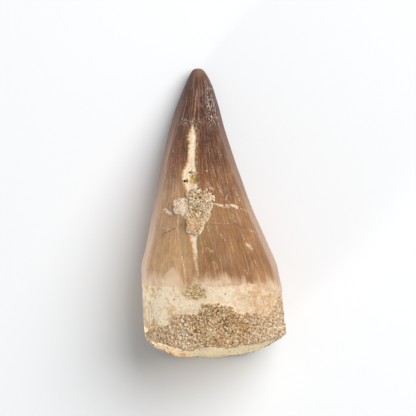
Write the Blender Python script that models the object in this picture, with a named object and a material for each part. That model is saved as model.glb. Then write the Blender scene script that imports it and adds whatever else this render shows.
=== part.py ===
"""A fossil mosasaur tooth lying on its flatter side: a crown of dark enamel, a stub of root, and the sandy
matrix that is cemented to both. It grew and turned to stone as one piece, so it is one solid.
Metres, +Z up, the tip towards +Y. The origin is on the surface that it lies on, under its middle.
"""

import math

import bmesh
import bpy
import numpy as np

MM = 0.001

# The whole tooth
LENGTH = 50.0 * MM  # from the tip to the broken end of the root
UPPER_SHARE = 1.07  # the upper face bulges more than the lower one
LOWER_SHARE = 0.93
NOSE_HEIGHT = 1.5 * MM  # height of the tip over the surface
NOSE_REACH = 1.7 * MM  # how soon the underside comes down behind the tip
ARCH_HEIGHT = 0.55 * MM  # the lower face is slightly hollow along its length
ARCH_START = 7.0 * MM
ARCH_END = 37.0 * MM
WORN_DEPTH = 0.14 * MM  # taken off where the tooth lies, which leaves small flats

# Outline seen from above: distance from the tip, half width and sideways place of the middle, in mm
OUTLINE = (
    (0.0, 0.0, -2.70),
    (0.17, 0.72, -2.70),
    (1.0, 1.40, -2.65),
    (2.6, 2.15, -2.62),
    (5.7, 3.12, -2.72),
    (9.8, 4.30, -2.83),
    (16.0, 6.02, -2.62),
    (20.2, 7.10, -2.20),
    (24.3, 8.30, -1.86),
    (30.5, 10.25, -1.08),
    (34.7, 11.55, -0.68),
    (38.8, 12.12, -0.22),
    (43.0, 12.22, 0.02),
    (46.7, 12.10, 0.14),
)
THICKNESS = (  # distance from the tip in mm, and thickness over width there
    (0, 1.0),
    (10, 1.03),
    (20, 1.05),
    (30, 0.97),
    (38, 0.86),
    (50, 0.84),
)

# The two cutting edges, one down each side of the crown
EDGE_RIDGE = 0.22 * MM
EDGE_RIDGE_WIDTH = 0.13  # in radians round the crown
EDGE_RIDGE_RISE = (2 * MM, 8 * MM)  # over how much of the length it sets in and runs out
EDGE_RIDGE_FALL = (34 * MM, 37 * MM)

# Crack that opened down the upper face: sideways place, distance from the tip and half width, in mm
CRACK = (
    (-3.28, 8.4, 0.10),
    (-3.50, 10.0, 0.30),
    (-3.60, 12.0, 0.66),
    (-3.67, 15.6, 0.68),
    (-3.84, 17.1, 1.00),
    (-4.10, 18.6, 1.42),
    (-3.84, 20.4, 1.24),
    (-3.50, 22.0, 0.95),
    (-3.45, 27.0, 0.95),
    (-3.36, 29.1, 0.70),
    (-3.10, 32.2, 0.42),
    (-2.47, 36.3, 0.12),
)
CRACK_DEPTH = 0.55 * MM  # where it is at least CRACK_FULL_WIDTH wide on either side
CRACK_FULL_WIDTH = 0.9 * MM
CRACK_WALL = (0.5, 1.25)  # where its wall begins and ends, in half widths from its middle
CRACK_FILL = 0.3 * MM  # height of crust at which the crack under it is full

# Crust of matrix over the crack: its reach in mm round its middle, by angle in degrees from +X towards the tip
CRUST_MIDDLE = (-3.36, 24.65)  # sideways place and distance from the tip, in mm
CRUST_OUTLINE = (
    (0, 2.92),
    (20, 3.50),
    (45, 3.95),
    (70, 3.50),
    (90, 3.74),
    (107, 3.36),
    (131, 2.47),
    (140, 3.37),
    (160, 3.85),
    (185, 3.43),
    (212, 2.25),
    (230, 2.37),
    (249, 3.57),
    (272, 4.62),
    (291, 3.86),
    (309, 3.00),
    (339, 2.97),
    (360, 2.92),
)
CRUST_EDGE = 0.7 * MM  # width of the slope round it
CRUST_BASE = 0.28 * MM  # height of its sheet
CRUST_LOBES = (  # sideways place, distance from the tip, radius, and height over the sheet, in mm
    (-2.40, 23.0, 2.4, 0.42),
    (-5.90, 24.0, 1.6, 0.26),
    (-3.40, 26.7, 2.2, 0.38),
    (-1.20, 25.2, 1.5, 0.16),
)
CRUST_LUMP = 0.60  # how much the crust's height varies, as a share of it
CRUST_LUMP_SIZE = 1.5 * MM
LOBE_SLOPE = (0.3, 1.1)  # where each lobe starts and stops falling, in radii from its middle
FACES_UP = (0.2, 0.5)  # sine of the angle round the tooth over which crack and crust set in

# Where the sandy matrix begins round the root: angle from the +X side over the top in degrees, and
# distance from the tip in mm. It leaves both sides of the root bare
SAND_LINE = (
    (0, 46.6),
    (6, 45.5),
    (12, 40.2),
    (18, 39.6),
    (30, 40.9),
    (41, 42.7),
    (58, 42.2),
    (70, 42.4),
    (75, 40.9),
    (98, 40.6),
    (103, 42.2),
    (124, 42.8),
    (142, 43.6),
    (152, 44.6),
    (160, 47.0),
    (195, 47.0),
    (205, 44.0),
    (215, 43.0),
    (250, 41.2),
    (280, 42.6),
    (320, 41.0),
    (340, 42.0),
    (352, 46.6),
    (360, 46.6),
)
SAND_HEIGHT = 0.06 * MM
SAND_EDGE = (-0.3 * MM, 0.5 * MM)  # over how much of the length it sets in
SAND_LUMPS = ((0.22, 2.6, 3), (0.12, 1.4, 4))  # height and size in mm, and seed, of its unevenness

# The enamel ends in a low step over the root
ENAMEL_END = 37.6 * MM
ENAMEL_THICKNESS = 0.14 * MM
ENAMEL_STEP = 0.6 * MM  # over how much of the length it falls

# The broken end of the root: a face across it, further from the tip below than above, that falls away
# to both sides, gradually on the right and late on the left
BREAK_UPPER = 48.2 * MM
BREAK_LOWER = 50.1 * MM
BREAK_FALL = 2.9 * MM
FALL_POWERS = (4.5, 2.4)  # left and right
BREAK_HOLLOW = 0.9 * MM  # the pulp cavity, filled with matrix, leaves a shallow hollow
HOLLOW_REACH = 0.72
BREAK_LUMPS = ((0.35, 5.0, 5), (0.20, 2.3, 6))  # height and size in mm, and seed, of its unevenness
BREAK_CALM = 0.45  # share of the way out over which that unevenness sets in
RIM_ROUNDING = 1.0 * MM
LEDGE = 0.18 * MM  # the layers of the root stand out as ledges round the rim
LEDGE_SPACING = 1.6 * MM
LEDGE_WAVER = (2.0, 4.0 * MM, 7)  # how far, over what size, and seed

WAVER = 0.10 * MM  # slow unevenness of the whole surface
WAVER_SIZE = 7.0 * MM

# How the surface is divided
COLUMNS = 76
SIDE_ROWS = 50
ROUNDING_ROWS = 3
END_ROWS = 10
END_CROWDING = 1.6  # rows on the broken end stand closer near its rim
TOP_CROWDING = 0.30  # columns stand closer on the upper face
ROW_PLACES = (  # share of the rows, and share of the length that they have covered: close where it is uneven
    (0.0, 0.0),
    (0.08, 0.015),
    (0.20, 0.08),
    (0.42, 0.38),
    (0.72, 0.66),
    (0.82, 0.81),
    (1.0, 1.0),
)

ROOT_END = OUTLINE[-1][0] * MM  # past this the cross-section stays the same
COLOURS = {  # base colour and roughness
    "enamel": ((0.30, 0.16, 0.09, 1.0), 0.38),
    "root": ((0.78, 0.62, 0.42, 1.0), 0.70),
    "matrix": ((0.42, 0.29, 0.17, 1.0), 0.95),
}


def smooth_line(points, at):
    """Monotone cubic through (place, value) points, read at an array of places."""
    x, y = np.array(points, float).T
    step = np.diff(x)
    rise = np.diff(y) / step
    slope = np.zeros(len(x))
    same_way = rise[:-1] * rise[1:] > 0
    total = np.where(same_way, rise[:-1] + rise[1:], 1.0)
    slope[1:-1] = np.where(same_way, 2 * rise[:-1] * rise[1:] / total, 0.0)
    slope[0] = rise[0]
    slope[-1] = rise[-1]
    k = np.clip(np.searchsorted(x, at) - 1, 0, len(x) - 2)
    t = np.clip((at - x[k]) / step[k], 0, 1)
    held = y[k] * (1 + 2 * t) * (1 - t) ** 2 + y[k + 1] * t**2 * (3 - 2 * t)
    return held + step[k] * (slope[k] * t * (1 - t) ** 2 - slope[k + 1] * t**2 * (1 - t))


def eased(value, start, end):
    """0 before start, 1 after end, smooth between."""
    t = np.clip((value - start) / (end - start), 0, 1)
    return t * t * (3 - 2 * t)


def lattice_value(i, j, k, seed):
    """A fixed pseudo-random number from -1 to 1 at each whole-number lattice point."""
    n = i * 374761393 + j * 668265263 + k * 1274126177 + seed * 974711
    n = (n ^ (n >> 13)) & 0x7FFFFFFF
    n = (n * 1103515245 + 12345) & 0x7FFFFFFF
    n = (n ^ (n >> 15)) & 0xFFFF
    return n / 32767.5 - 1.0


def lumps(x, y, z, size, seed):
    """Smooth random relief from -1 to 1 with bumps of about the given size."""
    p = np.stack(np.broadcast_arrays(x, y, z)) / size + 64.0
    cell = np.floor(p).astype(np.int64)
    t = p - cell
    t = t * t * (3 - 2 * t)
    total = 0.0
    for a in (0, 1):
        for b in (0, 1):
            for c in (0, 1):
                weight = np.abs(1 - a - t[0]) * np.abs(1 - b - t[1]) * np.abs(1 - c - t[2])
                total = total + weight * lattice_value(cell[0] + a, cell[1] + b, cell[2] + c, seed)
    return total


def half_width(d):
    """Half the width at distance d from the tip. Read against the root of d, which rounds the tip."""
    points = [(math.sqrt(p[0]), p[1] * MM) for p in OUTLINE]
    return smooth_line(points, np.sqrt(np.maximum(d, 0) / MM))


def sideways(d):
    return smooth_line([(p[0] * MM, p[2] * MM) for p in OUTLINE], d)


def half_height(d):
    return half_width(d) * smooth_line([(p[0] * MM, p[1]) for p in THICKNESS], d)


def underside_gap(d):
    """Height of the lower face over the surface: the raised tip, the hollow, and the worn contact."""
    nose = NOSE_HEIGHT * np.exp(-d / NOSE_REACH)
    along = np.clip((d - ARCH_START) / (ARCH_END - ARCH_START), 0, 1)
    return nose + ARCH_HEIGHT * np.sin(math.pi * along) ** 2 - WORN_DEPTH


def break_distance(angle, reach):
    """Distance of the broken end from the tip. reach is 0 at its middle and 1 at its rim."""
    across = reach * np.cos(angle)
    up = reach * np.sin(angle)
    level = 0.5 * (BREAK_UPPER + BREAK_LOWER) + 0.5 * (BREAK_UPPER - BREAK_LOWER) * up
    fall = np.abs(across) ** np.where(across < 0, *FALL_POWERS)
    d = level - BREAK_FALL * fall - BREAK_HOLLOW * (1 - eased(reach, 0, HOLLOW_REACH))
    x = across * half_width(BREAK_UPPER)
    z = up * half_height(BREAK_UPPER)
    for height, size, seed in BREAK_LUMPS:
        d = d + height * MM * lumps(x, z, 0 * x, size * MM, seed) * eased(reach, 0, BREAK_CALM)
    out = (1 - reach) * half_width(BREAK_UPPER)
    far, size, seed = LEDGE_WAVER
    ledges = np.sin(2 * math.pi * out / LEDGE_SPACING + far * lumps(x, z, 0 * x, size, seed))
    return d + LEDGE * ledges * eased(reach, HOLLOW_REACH, 1) * (reach < 1)


def crack_depth(x, d):
    """Depth of the crack at a point seen from above: a rounded trench along its line."""
    line = [(p[1] * MM, p[0] * MM) for p in CRACK]
    width = [(p[1] * MM, p[2] * MM) for p in CRACK]
    half = smooth_line(width, d)
    off = np.abs(x - smooth_line(line, d)) / half
    inside = (d > line[0][0]) & (d < line[-1][0])
    depth = CRACK_DEPTH * np.minimum(half / CRACK_FULL_WIDTH, 1)
    return depth * inside * (1 - eased(off, *CRACK_WALL))


def crust_height(x, y, z, d):
    """Height of the crust that covers the crack: a sheet with a ragged outline and lobes on it, roughened."""
    across = x - CRUST_MIDDLE[0] * MM
    along = CRUST_MIDDLE[1] * MM - d
    turned = np.degrees(np.arctan2(along, across)) % 360
    reach = smooth_line([(a, r * MM) for a, r in CRUST_OUTLINE], turned)
    lobes = np.zeros_like(d)
    for lobe_x, lobe_d, radius, rise in CRUST_LOBES:
        off = np.hypot(x - lobe_x * MM, d - lobe_d * MM) / (radius * MM)
        lobes = np.maximum(lobes, rise * MM * (1 - eased(off, *LOBE_SLOPE)))
    height = (CRUST_BASE + lobes) * eased(reach - np.hypot(across, along), 0, CRUST_EDGE)
    return height * (1 + CRUST_LUMP * lumps(x, y, z, CRUST_LUMP_SIZE, 11))


def sand_share(angle, d):
    """1 where the root is covered by sandy matrix, 0 where it is bare."""
    start = smooth_line([(a, p * MM) for a, p in SAND_LINE], np.degrees(angle) % 360)
    return eased(d - start, *SAND_EDGE)


def tooth_surface(angle, side, rounding, end):
    """Points of the surface. angle goes round the tooth. side is the share of the way from the tip to the
    rim, rounding the angle turned round the rim, and end the share of the way from the rim to the middle
    of the broken end."""
    rim = break_distance(angle, 1 - end)
    d = (rim - RIM_ROUNDING) * side + RIM_ROUNDING * np.sin(rounding)
    at = np.minimum(d, ROOT_END)
    inset = RIM_ROUNDING * (1 - np.cos(rounding))
    upper = np.sin(angle) > 0
    tall = half_height(at) * np.where(upper, UPPER_SHARE, LOWER_SHARE)
    middle = half_height(at) * LOWER_SHARE + underside_gap(at)
    x = sideways(at) + (half_width(at) - inset) * (1 - end) * np.cos(angle)
    z = middle + (tall - inset) * (1 - end) * np.sin(angle)
    y = 0.5 * LENGTH - d

    from_above = eased(np.sin(angle), *FACES_UP) * (rounding == 0)
    to_edge = 2 * np.minimum(np.abs(np.sin(angle / 2)), np.abs(np.cos(angle / 2)))
    relief = EDGE_RIDGE * np.exp(-((to_edge / EDGE_RIDGE_WIDTH) ** 2))
    relief = relief * eased(d, *EDGE_RIDGE_RISE) * (1 - eased(d, *EDGE_RIDGE_FALL))
    crust = crust_height(x, y, z, d) * from_above
    relief = relief - crack_depth(x, d) * from_above * (1 - eased(crust, 0, CRACK_FILL)) + crust
    sand = sand_share(angle, d)
    relief = relief - ENAMEL_THICKNESS * eased(d, ENAMEL_END, ENAMEL_END + ENAMEL_STEP) * (1 - sand)
    relief = relief + sand * SAND_HEIGHT
    for height, size, seed in SAND_LUMPS:
        relief = relief + sand * height * MM * lumps(x, y, z, size * MM, seed)
    relief = relief + WAVER * lumps(x, y, z, WAVER_SIZE, 1) * eased(d, 0, 4 * MM)

    x = x + relief * np.cos(angle) * np.cos(rounding)
    y = y - relief * np.sin(rounding)
    z = z + relief * np.sin(angle) * np.cos(rounding)
    return x, y, np.maximum(z, 0.0), sand


def surface_grid():
    """The grid of (angle, side, rounding, end) that divides the surface, without its two end points."""
    turn = np.linspace(-math.pi, math.pi, COLUMNS, endpoint=False)
    angle = math.pi / 2 + turn - TOP_CROWDING * np.sin(turn)
    share = np.linspace(0, 1, SIDE_ROWS + 1)[1:]
    side = smooth_line(ROW_PLACES, share)
    rounding = np.linspace(0, math.pi / 2, ROUNDING_ROWS + 1)[1:]
    end = np.linspace(0, 1, END_ROWS + 1)[1:-1] ** END_CROWDING
    side = np.concatenate([side, np.ones(len(rounding) + len(end))])
    rounding = np.concatenate([np.zeros(SIDE_ROWS), rounding, np.full(len(end), math.pi / 2)])
    end = np.concatenate([np.zeros(SIDE_ROWS + ROUNDING_ROWS), end])
    return np.broadcast_arrays(angle[None, :], side[:, None], rounding[:, None], end[:, None])


def coloured_materials():
    """One material for each finish, in the order of COLOURS."""
    made = []
    for name, (colour, roughness) in COLOURS.items():
        material = bpy.data.materials.new(name)
        material.use_nodes = True
        shader = material.node_tree.nodes["Principled BSDF"]
        shader.inputs["Base Color"].default_value = colour
        shader.inputs["Roughness"].default_value = roughness
        shader.inputs["Metallic"].default_value = 0.0
        made.append(material)
    return made


def finish_of(d, sand):
    """Index of the finish at a face: enamel, bare root or matrix."""
    if sand > 0.5:
        return 2
    return 0 if d < ENAMEL_END else 1


def build_tooth():
    angle, side, rounding, end = surface_grid()
    x, y, z, sand = tooth_surface(angle, side, rounding, end)
    rows, columns = x.shape
    bm = bmesh.new()
    rings = [[bm.verts.new((x[r, c], y[r, c], z[r, c])) for c in range(columns)] for r in range(rows)]
    pole = [float(v[0]) for v in tooth_surface(*(np.array([v]) for v in (0.0, 0.0, 0.0, 0.0)))[:3]]
    tip = bm.verts.new(pole)
    pole = [float(v[0]) for v in tooth_surface(*(np.array([v]) for v in (0.0, 1.0, math.pi / 2, 1.0)))[:3]]
    middle = bm.verts.new(pole)
    for c in range(columns):
        after = (c + 1) % columns
        bm.faces.new((tip, rings[0][c], rings[0][after]))
        bm.faces.new((middle, rings[-1][after], rings[-1][c])).material_index = 2
        for r in range(rows - 1):
            corners = (rings[r][c], rings[r + 1][c], rings[r + 1][after], rings[r][after])
            face = bm.faces.new(corners)
            face.material_index = finish_of(0.5 * LENGTH - y[r, c], sand[r, c])
    bmesh.ops.recalc_face_normals(bm, faces=bm.faces)
    bmesh.ops.triangulate(bm, faces=bm.faces)
    mesh = bpy.data.meshes.new("fossil_tooth")
    bm.to_mesh(mesh)
    bm.free()
    mesh.shade_smooth()
    for material in coloured_materials():
        mesh.materials.append(material)
    tooth = bpy.data.objects.new("fossil_tooth", mesh)
    bpy.context.scene.collection.objects.link(tooth)
    return tooth


for old in list(bpy.data.objects):
    bpy.data.objects.remove(old)
build_tooth()
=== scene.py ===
# A fossil mosasaur tooth lying on a white table: enamel crown, bare root and the matrix that clings to it.
# Shapes are worked out in millimetres, as in the solids, and written to the meshes in metres.
import math

import bpy
import numpy as np
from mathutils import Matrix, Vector


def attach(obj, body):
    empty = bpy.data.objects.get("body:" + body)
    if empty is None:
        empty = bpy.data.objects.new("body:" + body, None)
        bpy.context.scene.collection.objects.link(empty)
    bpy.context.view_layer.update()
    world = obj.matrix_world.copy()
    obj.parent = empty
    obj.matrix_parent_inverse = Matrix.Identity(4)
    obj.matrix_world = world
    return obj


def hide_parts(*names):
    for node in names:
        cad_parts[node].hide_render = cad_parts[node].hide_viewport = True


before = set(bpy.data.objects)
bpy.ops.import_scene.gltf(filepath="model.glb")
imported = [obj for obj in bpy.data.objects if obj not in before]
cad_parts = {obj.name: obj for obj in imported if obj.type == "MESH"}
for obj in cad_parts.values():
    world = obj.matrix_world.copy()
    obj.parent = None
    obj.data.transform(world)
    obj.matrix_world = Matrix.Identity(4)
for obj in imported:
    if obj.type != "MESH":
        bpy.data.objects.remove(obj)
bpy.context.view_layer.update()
print("frame loaded")

photo = dict(
    mmPerPixel=0.1724,
    middleX=213.5,  # the pixel column over the middle of the tooth
    tipY=67.0,
    side=416,
)


def placeOf(px, py):  # a point of the photograph, in pixels, as (x, distance from the tip) in mm
    return (px - photo["middleX"]) * photo["mmPerPixel"], (py - photo["tipY"]) * photo["mmPerPixel"]


# numbers that vary over a surface

def eased(value, start, end):  # 0 before start, 1 after end, 3t^2 - 2t^3 between
    t = np.clip((value - start) / (end - start), 0, 1)
    return t * t * (3 - 2 * t)


def smoothLine(points, at):  # monotone cubic through (place, value) points, slopes are harmonic means
    x, y = np.array(points, float).T
    step = np.diff(x)
    rise = np.diff(y) / step
    slope = np.zeros(len(x))
    sameWay = rise[:-1] * rise[1:] > 0
    total = np.where(sameWay, rise[:-1] + rise[1:], 1.0)
    slope[1:-1] = np.where(sameWay, 2 * rise[:-1] * rise[1:] / total, 0.0)
    slope[0], slope[-1] = rise[0], rise[-1]
    k = np.clip(np.searchsorted(x, at) - 1, 0, len(x) - 2)
    t = np.clip((at - x[k]) / step[k], 0, 1)
    held = y[k] * (1 + 2 * t) * (1 - t) ** 2 + y[k + 1] * t**2 * (3 - 2 * t)
    return held + step[k] * (slope[k] * t * (1 - t) ** 2 - slope[k + 1] * t**2 * (1 - t))


def latticeValue(i, j, k, seed):  # a fixed number from -1 to 1 for each lattice point
    n = i * 374761393 + j * 668265263 + k * 1274126177 + seed * 974711
    n = (n ^ (n >> 13)) & 0x7FFFFFFF
    n = (n * 1103515245 + 12345) & 0x7FFFFFFF
    n = (n ^ (n >> 15)) & 0xFFFF
    return n / 32767.5 - 1.0


def lumps(x, y, z, size, seed):  # smooth relief from -1 to 1, blended from lattice values that far apart
    p = np.stack(np.broadcast_arrays(x, y, z)) / size + 64.0
    cell = np.floor(p).astype(np.int64)
    t = p - cell
    t = t * t * (3 - 2 * t)
    total = 0.0
    for a in (0, 1):
        for b in (0, 1):
            for c in (0, 1):
                weight = np.abs(1 - a - t[0]) * np.abs(1 - b - t[1]) * np.abs(1 - c - t[2])
                total = total + weight * latticeValue(cell[0] + a, cell[1] + b, cell[2] + c, seed)
    return total


def layered(x, y, z, size, seed, octaves=3):  # lumps of halving size and height, added up
    total = 0.0
    for n in range(octaves):
        total = total + lumps(x, y, z, size / 2**n, seed + n) / 2**n
    return total


def uneven(x, y, z, height, size, seed, octaves=3):  # layered lumps of that height
    return height * layered(x, y, z, size, seed, octaves)


def pebbles(x, y, z, size, seed):  # 1 at the middle of a random pebble in each cell, 0 between pebbles
    p = np.stack(np.broadcast_arrays(x, y, z)) / size + 64.0
    cell = np.floor(p).astype(np.int64)
    nearest = np.full(p.shape[1:], 9.0)
    for a in (-1, 0, 1):
        for b in (-1, 0, 1):
            for c in (-1, 0, 1):
                i, j, k = cell[0] + a, cell[1] + b, cell[2] + c
                away = 0.0
                for axis, whole in enumerate((i, j, k)):
                    away = away + (whole + 0.5 + 0.42 * latticeValue(i, j, k, seed + axis) - p[axis]) ** 2
                nearest = np.minimum(nearest, away)
    return 1 - np.clip(np.sqrt(nearest), 0, 1)


# shape of the tooth, the same as in the solids but for a finer line where the matrix begins

tooth = dict(
    length=50,
    upperShare=1.07, lowerShare=0.93,  # the upper face bulges more
    noseHeight=1.5, noseReach=1.7,
    archHeight=0.55, archStart=7, archEnd=37, wornDepth=0.14,
    outline=(  # distance from the tip, half width, sideways place of the middle
        (0, 0, -2.7), (0.17, 0.72, -2.7), (1, 1.4, -2.65), (2.6, 2.15, -2.62), (5.7, 3.12, -2.72),
        (9.8, 4.3, -2.83), (16, 6.02, -2.62), (20.2, 7.1, -2.2), (24.3, 8.3, -1.86), (30.5, 10.25, -1.08),
        (34.7, 11.55, -0.68), (38.8, 12.12, -0.22), (43, 12.22, 0.02), (46.7, 12.1, 0.14),
    ),
    thickness=((0, 1), (10, 1.03), (20, 1.05), (30, 0.97), (38, 0.86), (50, 0.84)),
    rootEnd=46.7,
    edgeRidge=0.22, edgeRidgeWidth=0.13, edgeRidgeRise=(2, 8), edgeRidgeFall=(34, 37),
    crack=(  # sideways place, distance from the tip, half width
        (-3.28, 8.4, 0.1), (-3.5, 10, 0.3), (-3.6, 12, 0.66), (-3.67, 15.6, 0.68), (-3.84, 17.1, 1),
        (-4.1, 18.6, 1.42), (-3.84, 20.4, 1.24), (-3.5, 22, 0.95), (-3.45, 27, 0.95), (-3.36, 29.1, 0.7),
        (-3.1, 32.2, 0.42), (-2.47, 36.3, 0.12),
    ),
    crackDepth=0.55, crackFullWidth=0.9, crackFill=0.3,
    crustMiddle=(-3.36, 24.65),
    crustOutline=(  # angle from +X towards the tip, reach from the crust's middle
        (0, 2.92), (20, 3.5), (45, 3.95), (70, 3.5), (90, 3.74), (107, 3.36), (131, 2.47), (140, 3.37),
        (160, 3.85), (185, 3.43), (212, 2.25), (230, 2.37), (249, 3.57), (272, 4.62), (291, 3.86),
        (309, 3), (339, 2.97), (360, 2.92),
    ),
    crustEdge=0.7, crustBase=0.28,
    crustLobes=(  # sideways place, distance from the tip, radius, height over the sheet
        (-2.4, 23, 2.4, 0.42), (-5.9, 24, 1.6, 0.26), (-3.4, 26.7, 2.2, 0.38), (-1.2, 25.2, 1.5, 0.16),
    ),
    crustLump=0.6, crustLumpSize=1.5, lobeSlope=(0.3, 1.1), facesUp=(0.2, 0.5),
    sandLine=(  # angle from the +X side over the top, distance from the tip where the matrix begins
        (0, 46.6), (6, 45.5), (12, 40.2), (18, 39.6), (30, 40.9), (41, 42.7), (58, 42.2), (70, 42.4),
        (75, 40.9), (98, 40.6), (103, 42.2), (122, 42.6), (127, 43.8), (134, 44.6), (150, 44.4),
        (158, 45.4), (168, 46.2), (190, 46.2), (205, 44), (215, 43), (250, 41.2), (280, 42.6), (320, 41),
        (340, 42), (352, 46.6), (360, 46.6),
    ),
    sandHeight=0.06, sandEdge=(-0.3, 0.5), sandLumps=((0.22, 2.6, 3), (0.12, 1.4, 4)),
    enamelThickness=0.14,
    breakUpper=48.2, breakLower=50.1, breakFall=2.9, fallPowers=(4.5, 2.4), breakHollow=0.9, hollowReach=0.72,
    breakLumps=((0.35, 5, 5), (0.2, 2.3, 6)), breakCalm=0.45,
    rimRounding=1, ledge=0.18, ledgeSpacing=1.6, ledgeWaver=(2, 4, 7),
    waver=0.1, waverSize=7,
)

# finer relief than the solids hold
detail = dict(
    enamelLine=(  # angle from the +X side over the top, distance from the tip where the enamel ends
        (0, 38.8), (8, 38.8), (38, 38.2), (49, 37.5), (63, 37.2), (70, 37.6), (98, 37.8), (104, 38.1),
        (117, 37.9), (133, 37.7), (180, 37.7), (230, 38.3), (280, 37.2), (330, 38.4), (360, 38.8),
    ),
    enamelStep=0.3,
    crackWander=(0.14, 0.8, 21),  # height, size and seed of layered lumps, and octaves
    crackFloor=(0.1, 0.9, 31),
    crustFray=(0.34, 1.1, 25, 4),
    raggedLines=(0.35, 1.6, 51),  # where enamel and matrix end
    striae=0.022, striaeAround=0.42, striaeAlong=7,
    pocket=(-3.67, 19.3, 0.86, 0.35),  # sideways, distance from the tip, radius, depth
    hole=(-4.95, 19.7, 0.23, 0.9),
    holeTwo=(-4.05, 18.2, 0.2, 0.3),
    crustGrain=0.26, crustGrainSize=0.46,
    sandGrain=0.22, sandGrainSize=0.5,
    laminaHeight=0.1, laminaSpacing=0.55,
    cavity=(0.16, 0.4, 0.24),  # matrix in the hollow: height of its middle, half width, half height
    cavityEdge=(-0.1, 0.15),
    bareRim=(-0.45, 0.05),  # where the matrix stops short of the broken rim
    rootPits=0.05,
)

grid = dict(
    columns=330, sideRows=246, roundingRows=10, endRows=44,
    topCrowding=0.42, endCrowding=1.25,
    rowPlaces=((0, 0), (0.06, 0.02), (0.346, 0.42), (0.588, 0.62), (0.692, 0.8), (0.75, 0.86), (1, 1)),
)


def halfWidth(d):  # half the width of the section, through the outline's points
    return smoothLine([(math.sqrt(p[0]), p[1]) for p in tooth["outline"]], np.sqrt(np.maximum(d, 0)))


def sideways(d):  # where the middle of the section is
    return smoothLine([(p[0], p[2]) for p in tooth["outline"]], d)


def halfHeight(d):  # the half width times the thickness share
    return halfWidth(d) * smoothLine(tooth["thickness"], d)


def undersideGap(d):  # raised tip, hollow of the lower face, less what is worn off
    along = np.clip((d - tooth["archStart"]) / (tooth["archEnd"] - tooth["archStart"]), 0, 1)
    nose = tooth["noseHeight"] * np.exp(-d / tooth["noseReach"])
    return nose + tooth["archHeight"] * np.sin(math.pi * along) ** 2 - tooth["wornDepth"]


def breakDistance(angle, reach):  # from the tip to the broken end, reach is 0 at its middle and 1 at its rim
    upper, lower = tooth["breakUpper"], tooth["breakLower"]
    across, up = reach * np.cos(angle), reach * np.sin(angle)
    level = 0.5 * (upper + lower) + 0.5 * (upper - lower) * up
    fall = np.abs(across) ** np.where(across < 0, *tooth["fallPowers"])
    d = level - tooth["breakFall"] * fall - tooth["breakHollow"] * (1 - eased(reach, 0, tooth["hollowReach"]))
    x, z = across * halfWidth(upper), up * halfHeight(upper)
    for height, size, seed in tooth["breakLumps"]:
        d = d + height * lumps(x, z, 0 * x, size, seed) * eased(reach, 0, tooth["breakCalm"])
    out = (1 - reach) * halfWidth(upper)
    far, size, seed = tooth["ledgeWaver"]
    ledges = np.sin(2 * math.pi * out / tooth["ledgeSpacing"] + far * lumps(x, z, 0 * x, size, seed))
    return d + tooth["ledge"] * ledges * eased(reach, tooth["hollowReach"], 1) * (reach < 1)


def crackOffset(x, d):  # (sideways distance from the crack's middle line, its half width there)
    line = [(p[1], p[0]) for p in tooth["crack"]]
    width = [(p[1], p[2]) for p in tooth["crack"]]
    return np.abs(x - smoothLine(line, d)), smoothLine(width, d)


def crustHeight(x, y, z, d):  # a sheet inside the outline, with the highest of the lobes on it, roughened
    across, along = x - tooth["crustMiddle"][0], tooth["crustMiddle"][1] - d
    bearing = np.degrees(np.arctan2(along, across)) % 360
    inside = smoothLine(tooth["crustOutline"], bearing) - np.hypot(across, along)
    lobes = 0.0 * x
    for lobeX, lobeD, radius, rise in tooth["crustLobes"]:
        off = np.hypot(x - lobeX, d - lobeD) / radius
        lobes = np.maximum(lobes, rise * (1 - eased(off, *tooth["lobeSlope"])))
    height = (tooth["crustBase"] + lobes) * eased(inside, 0, tooth["crustEdge"])
    return height * (1 + tooth["crustLump"] * lumps(x, y, z, tooth["crustLumpSize"], 11)), inside


def section(angle, side, rounding, end):
    # An oval section carried along the length: x = middle + half width * cos, z = middle + half height * sin.
    # The rim turns inwards by a quarter circle, and the broken end runs from the rim to the middle.
    rim = breakDistance(angle, 1 - end)
    d = (rim - tooth["rimRounding"]) * side + tooth["rimRounding"] * np.sin(rounding)
    at = np.minimum(d, tooth["rootEnd"])
    inset = tooth["rimRounding"] * (1 - np.cos(rounding))
    tall = halfHeight(at) * np.where(np.sin(angle) > 0, tooth["upperShare"], tooth["lowerShare"])
    middle = halfHeight(at) * tooth["lowerShare"] + undersideGap(at)
    x = sideways(at) + (halfWidth(at) - inset) * (1 - end) * np.cos(angle)
    z = middle + (tall - inset) * (1 - end) * np.sin(angle)
    beforeRim = (rim - tooth["rimRounding"]) * (1 - side)
    return x, z, d, inset, beforeRim


def edgeRidge(angle, d):  # a low bell curve along each side
    toEdge = 2 * np.minimum(np.abs(np.sin(angle / 2)), np.abs(np.cos(angle / 2)))
    ridge = tooth["edgeRidge"] * np.exp(-((toEdge / tooth["edgeRidgeWidth"]) ** 2))
    return ridge * eased(d, *tooth["edgeRidgeRise"]) * (1 - eased(d, *tooth["edgeRidgeFall"]))


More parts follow.
